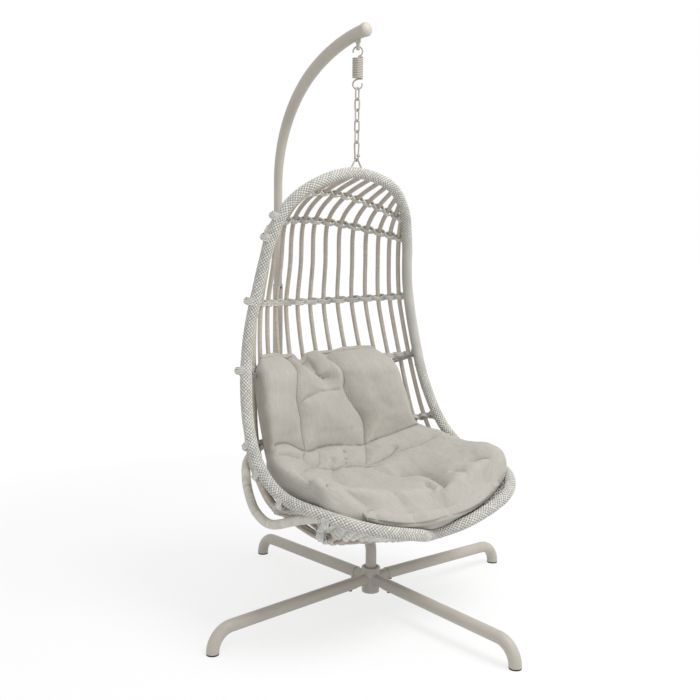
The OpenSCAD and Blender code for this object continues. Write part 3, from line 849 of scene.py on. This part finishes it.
class BuildSeatHoop(bpy.types.Operator):
    """Wind the hoop that carries the basket behind the seat"""

    bl_idname = "egg_chair.seat_hoop"
    bl_label = "Seat hoop"

    def execute(self, context):
        settings = context.scene.egg_chair_basket
        half = smooth(HOOP, 14)
        route = placed(np.vstack([half, (half[:-1] * (-1, 1, 1))[::-1]]))
        shape = tube(route, settings.hoop_diameter / MM / 2, 24, pitch=3.6)
        piece("seat_hoop_wound", shape, wound_cover("Hoop_winding", settings.hoop_colour, 0.12),
              stands_for=["seat_hoop"])
        return {"FINISHED"}


def cushion_section(v):
    """Forward, height, lean, half width, edge lift and fullness at a place between the sections."""
    p = np.asarray(CUSHION, float)
    p = np.vstack([2 * p[0] - p[1], p, 2 * p[-1] - p[-2]])
    v = np.clip(np.atleast_1d(v), 0, len(CUSHION) - 1)
    i = np.minimum(v.astype(int), len(CUSHION) - 2)
    u = (v - i)[:, None]
    return blend4(p[i], p[i + 1], p[i + 2], p[i + 3], u)


def cushion_points(u, v, seat, back, top=True):
    """Points on the cushion's upper or lower side."""
    u, v = np.broadcast_arrays(np.asarray(u, float), np.asarray(v, float))
    s = cushion_section(v.ravel()).reshape(u.shape + (6,))
    lean = np.radians(s[..., 2])
    height = np.clip((s[..., 1] - 440) / 80, 0, 1)
    full = (seat + (back - seat) * height) * s[..., 5]
    rise = full * np.clip(1 - np.abs(u) ** 3.33, 0, 1) ** 0.275 if top else 0 * full
    lift = rise + s[..., 4] * np.abs(u) ** 2.4
    left = 1 + 0.055 * np.clip((5.4 - v) / 1.5, 0, 1) * (u < 0)
    return placed(np.stack([left * s[..., 3] * u, s[..., 0] + lift * np.cos(lean),
                            s[..., 1] + lift * np.sin(lean)], -1))


def crease_depth(points, seat, back):
    """How far each point is drawn in by the creases and tufts, and how close it is to one, which sets the
    painted shade of the cloth there.
    """
    drawn, close = np.zeros(len(points)), np.zeros(len(points))
    for depth, width, route in CREASES:
        line = smooth([(u, v, 0) for u, v in route], 14)
        spots = cushion_points(line[:, 0], line[:, 1], seat, back)
        if line[-1, 1] > len(CUSHION) - 1.2:
            foot = cushion_points(line[-1:, 0], [len(CUSHION) - 1], seat, back, top=False) - (0, 8, 18)
            spots = np.vstack([spots[:-1], spots[-1] + np.linspace(0, 1, 12)[:, None] * (foot - spots[-1])])
        gaps = np.linalg.norm(points[:, None] - spots[None], axis=2)
        nearest = gaps.argmin(1)
        away = gaps[np.arange(len(points)), nearest]
        ends = np.minimum(nearest, len(spots) - 1 - nearest) / (len(spots) * 0.18)
        fade = np.where((depth > 30) | (spots[nearest, 1] < -290), 1.0, np.clip(0.25 + ends, 0, 1))
        fade = np.where(nearest >= len(line) + 1, 0.4, fade)
        valley = 0.6 * np.exp(-away / width) + 0.4 * np.exp(-(away / 3.6 / width) ** 2)
        drawn = np.maximum(drawn, fade * depth * valley)
        close = np.maximum(close, fade * np.exp(-(away / (0.35 * width)) ** 2) * min(depth / 30, 1))
    for u, v in TUFTS:
        away = np.linalg.norm(points - cushion_points([u], [v], seat, back), axis=1)
        drawn = np.maximum(drawn, TUFT_DEPTH * np.exp(-(away / 20) ** 1.3))
        close = np.maximum(close, np.exp(-(away / 5) ** 2))
    return drawn, close


def rods():
    """Points along every rod that the cushion rests against, and how far each keeps it off."""
    lines = [(placed([rim_at(i / 40) for i in range(40 * (len(RIM) - 1) + 1)]), 20.5)]
    lines += [(placed(smooth(HOOP, 20)), 16.5)]
    lines += [(placed(slat_route(i, 24)), 9.5) for i in range(SIDE_SLATS + 1)]
    lines += [(placed([row_at(ROWS[i], a) for a in np.linspace(0.01, 90, 150)]), 14) for i in BAND_ROWS[3:]]
    lines += [(under_row(back)[0], 14) for back in UNDER_ROWS]
    points = np.vstack([line for line, _ in lines])
    keep = np.concatenate([np.full(len(line), size) for line, size in lines])
    return np.vstack([points, points * (-1, 1, 1)]), np.concatenate([keep, keep])


def settle(points):
    """Pushes the cushion off the rods that it rests against."""
    spots, keep = rods()
    tree = KDTree(len(spots))
    for i, spot in enumerate(spots):
        tree.insert(spot, i)
    tree.balance()
    for _ in range(2):
        for i, point in enumerate(points):
            _, k, away = tree.find(point)
            if away < keep[k]:
                points[i] = spots[k] + (point - spots[k]) * (keep[k] / max(away, 0.1))
    return points


def rounded_end(section, sides, reach):
    """Sections that close an end of the cushion with a soft round edge."""
    n = len(section)
    mate = np.concatenate([[0], np.arange(n - 1, sides, -1), [sides], np.arange(sides - 1, 0, -1)])
    middle = (section + section[mate]) / 2
    ends = []
    for turn in np.linspace(0, math.pi / 2, END_RINGS + 1)[1:]:
        thin = max(math.cos(turn), 0.02)
        ends.append(middle + (section - middle) * thin + math.sin(turn) * np.array(reach))
    return np.array(ends)


def cushion_shape(seat, back):
    """Closed cushion: a creased upper side, a plain lower side and a rounded edge."""
    sides = CUSHION_SIDES
    last = len(CUSHION) - 1
    v = np.linspace(0, last, CUSHION_ROWS)
    half = np.linspace(0, math.pi, sides + 1)
    u_top = np.cos(half)
    u_top = np.sign(u_top) * np.abs(u_top) ** 0.75
    top = cushion_points(u_top[None, :], v[:, None], seat, back)
    low = cushion_points(u_top[::-1][None, 1:-1] * 0.985, v[:, None], seat, back, top=False)
    front = np.clip((v - 10.4) / 1.4, 0, 1)[:, None]
    sag = 22 * front * (3 - 2 * front) * front
    top[..., 2] -= sag * (0.3 + 0.5 * np.abs(u_top[None, :]))
    low[..., 2] -= 4 + sag * (0.55 + 0.45 * np.abs(u_top[::-1][None, 1:-1]))
    grid = np.concatenate([top, low], 1)
    grid = np.concatenate([rounded_end(grid[0], sides, (0, 3, 9))[::-1], grid,
                           rounded_end(grid[-1], sides, (0, -13, -4))])
    rows, n = grid.shape[:2]
    place = np.concatenate([np.zeros(END_RINGS), v, np.full(END_RINGS, float(last))])
    dip = np.clip(1 - place / 0.9, 0, 1)[:, None]
    grid[..., 2] -= 26 * dip * np.exp(-((grid[..., 0] + 46) / 20) ** 2)
    flat = grid.reshape(-1, 3)
    along = np.gradient(grid, axis=0)
    round_ = np.roll(grid, -1, 1) - np.roll(grid, 1, 1)
    normal = unit(np.cross(round_, along).reshape(-1, 3) + 1e-9)
    drawn, close = crease_depth(flat, seat, back)
    lump = np.array([noise.noise(Vector(p * 0.014)) + 0.5 * noise.noise(Vector(p * 0.032)) for p in flat])
    on_top = np.zeros(grid.shape[:2])
    on_top[:, :sides + 1] = np.clip(np.sin(half), 0, 1)[None, :] ** 0.4
    on_top = on_top.ravel()
    inward = on_top * (drawn - 9 + 4.5 * lump)
    facing = np.sign((normal * (flat - np.repeat(grid.mean(1), n, axis=0))).sum(1)).mean()
    flat = settle(flat - math.copysign(1, facing) * normal * inward[:, None])
    grid = flat.reshape(rows, n, 3)
    i, k = (g.ravel() for g in np.meshgrid(np.arange(rows - 1), np.arange(n), indexing="ij"))
    m = (k + 1) % n
    faces = np.stack([i * n + k, (i + 1) * n + k, (i + 1) * n + m, i * n + m], 1)
    width = np.linalg.norm(np.roll(grid, -1, 1) - grid, axis=2).mean(0)
    run = np.concatenate([[0], np.cumsum(width)]) / THREAD
    length = lengths(grid[:, sides // 2]) / THREAD
    uv = np.stack([run[k], length[i], run[k], length[i + 1],
                   run[k + 1], length[i + 1], run[k + 1], length[i]], 1)
    ends = []
    for row in (0, rows - 1):
        rim = row * n + np.arange(n)
        strip = [[rim[t], rim[t + 1], rim[n - 2 - t], rim[n - 1 - t]] for t in range(n // 2 - 1)]
        ends.append(np.array(strip if row == 0 else [q[::-1] for q in strip]))
    caps = np.vstack(ends)
    cap_uv = np.stack([flat[caps.ravel(), 0] / THREAD, flat[caps.ravel(), 2] / THREAD], 1)
    return (flat, np.vstack([faces, caps]), np.vstack([uv.reshape(-1, 2), cap_uv])), close


def tie_shape(side):
    """Two tails of flat tape from a top corner of the cushion, knotted behind the rim."""
    rim = placed(rim_at(TIE_PLACE) * (side, 1, 1))
    corner = placed(np.array([side * 300, -150, 786]))
    away = unit(rim - corner)
    back = np.array([0, 1.0, 0.15])
    parts = []
    for lift, drop in ((4, 46), (-5, 64)):
        route = smooth([
            corner - away * 12, corner + away * 10 + (0, 0, lift), rim - away * 27 + (0, -8, lift),
            rim + back * 22 - away * 6 + (0, 0, lift), rim + back * 24 + away * 8 + (0, 0, -8),
            rim + back * 23 + away * 12 + (0, 0, -drop),
        ], 10)
        parts.append(tube(route, 4.5, 10, around=2, pitch=2.0, flat=0.2))
    return joined(parts)


class BuildCushion(bpy.types.Operator):
    """Stuff the one-piece cushion and sew its creases"""

    bl_idname = "egg_chair.cushion"
    bl_label = "Cushion"

    def execute(self, context):
        settings = context.scene.egg_chair_cushion
        shape, close = cushion_shape(settings.seat_thickness / MM, settings.back_thickness / MM)
        linen = linen_cloth("Cushion_linen", settings.colour)
        made = piece("cushion_padded", shape, linen, stands_for=["cushion"])
        # Nearness to the creases and tufts, kept on the points for the cloth's painted shade.
        crease_shade = made.data.attributes.new("crease_shade", "FLOAT", "POINT")
        crease_shade.data.foreach_set("value", close.astype(np.float32))
        # Painted shade: the ties' cloth is the cushion's colour darkened to 0.55, standing in for the shadows
        # where they pass behind the rim.
        tape = linen_cloth("Tie_tape_shaded", tone(settings.colour, 0.55))
        for side, name in ((-1, "left"), (1, "right")):
            piece(f"cushion_tie_{name}", tie_shape(side), tape)
        return {"FINISHED"}


class SetStage(bpy.types.Operator):
    """Set the camera, the floor and the soft studio light"""

    bl_idname = "egg_chair.stage"
    bl_label = "Stage"

    def execute(self, context):
        scene = context.scene
        settings = scene.egg_chair_stage
        lens = bpy.data.cameras.new("Camera")
        lens.lens = settings.lens
        lens.sensor_width = 36
        camera = bpy.data.objects.new("Camera", lens)
        scene.collection.objects.link(camera)
        yaw, pitch, roll = CAMERA_TURN
        ahead = Vector((math.sin(yaw) * math.cos(pitch), math.cos(yaw) * math.cos(pitch), -math.sin(pitch)))
        right = Vector((math.cos(yaw), -math.sin(yaw), 0))
        down = ahead.cross(right)
        turned = math.cos(roll) * right + math.sin(roll) * down
        low = -math.sin(roll) * right + math.cos(roll) * down
        rows = [(turned[i], -low[i], -ahead[i], CAMERA_PLACE[i]) for i in range(3)]
        camera.matrix_world = Matrix(rows + [(0, 0, 0, 1)])
        scene.camera = camera
        self.light(scene, settings)
        self.floor(scene)
        scene.view_settings.view_transform = "Standard"
        return {"FINISHED"}

    def light(self, scene, settings):
        """One large soft lamp and an even sky that shows as white."""
        key = bpy.data.lights.new("Key", "AREA")
        key.energy = settings.key_power
        key.shape = "DISK"
        key.size = KEY_SIZE
        lamp = bpy.data.objects.new("Key", key)
        lamp.location = KEY_PLACE
        aim = Vector(KEY_AIM) - lamp.location
        lamp.rotation_euler = aim.to_track_quat("-Z", "Y").to_euler()
        scene.collection.objects.link(lamp)
        world = bpy.data.worlds.new("Studio")
        world.use_nodes = True
        scene.world = world
        sky = Nodes(world.node_tree)
        even = sky.node("ShaderNodeBackground", {}, {"Color": WHITE, "Strength": settings.sky_strength})
        behind = sky.node("ShaderNodeBackground", {}, {"Color": WHITE, "Strength": 1.0})
        sky.end("ShaderNodeOutputWorld", even, behind, sky.seen())

    def floor(self, scene):
        """A pale floor that keeps the chair's shadow and fades to white around it."""
        mesh = bpy.data.meshes.new("Floor")
        corners = [(x * FLOOR_REACH, y * FLOOR_REACH, 0) for x, y in ((-1, -1), (1, -1), (1, 1), (-1, 1))]
        mesh.from_pydata(corners, [], [(0, 1, 2, 3)])
        floor = bpy.data.objects.new("Floor", mesh)
        scene.collection.objects.link(floor)
        material = bpy.data.materials.new("Floor_white")
        material.use_nodes = True
        nodes = Nodes(material.node_tree)
        matt = nodes.node("ShaderNodeBsdfDiffuse", {}, {"Color": (0.86, 0.86, 0.86, 1.0)})
        glow = nodes.node("ShaderNodeEmission", {}, {"Strength": FLOOR_GLOW})
        place = nodes.node("ShaderNodeTexCoord", {}, {}, "Object")
        away = nodes.node("ShaderNodeVectorMath", {"operation": "LENGTH"}, {0: place}, "Value")
        near, far = FLOOR_FADE
        share = FLOOR_SHARE + (1 - FLOOR_SHARE) * away.step(near, far)
        nodes.end("ShaderNodeOutputMaterial", matt, glow, nodes.seen() * share)
        mesh.materials.append(material)


class EggChairPanel(bpy.types.Panel):
    """Lists the pieces of the egg chair"""

    bl_idname = "VIEW3D_PT_egg_chair"
    bl_label = "Egg chair"
    bl_space_type = "VIEW_3D"
    bl_region_type = "UI"
    bl_category = "Egg chair"

    def draw(self, context):
        layout = self.layout
        for group, settings in SETTINGS.items():
            box = layout.box()
            box.label(text=settings.__doc__)
            for name in settings.__annotations__:
                box.prop(getattr(context.scene, group), name)
        for operator in OPERATORS:
            layout.operator(operator.bl_idname)


OPERATORS = [SetStage, DressStand, DressGear, BuildRim, BuildSlats, BuildBands, BuildSeatHoop, BuildCushion]
CLASSES = list(SETTINGS.values()) + OPERATORS + [EggChairPanel]


def register():
    for made in CLASSES:
        bpy.utils.register_class(made)
    for name, settings in SETTINGS.items():
        setattr(bpy.types.Scene, name, bpy.props.PointerProperty(type=settings))


def unregister():
    for name in SETTINGS:
        delattr(bpy.types.Scene, name)
    for made in reversed(CLASSES):
        bpy.utils.unregister_class(made)


def main():
    register()
    for operator in OPERATORS:
        group, name = operator.bl_idname.split(".")
        getattr(getattr(bpy.ops, group), name)()


if __name__ == "__main__":
    main()
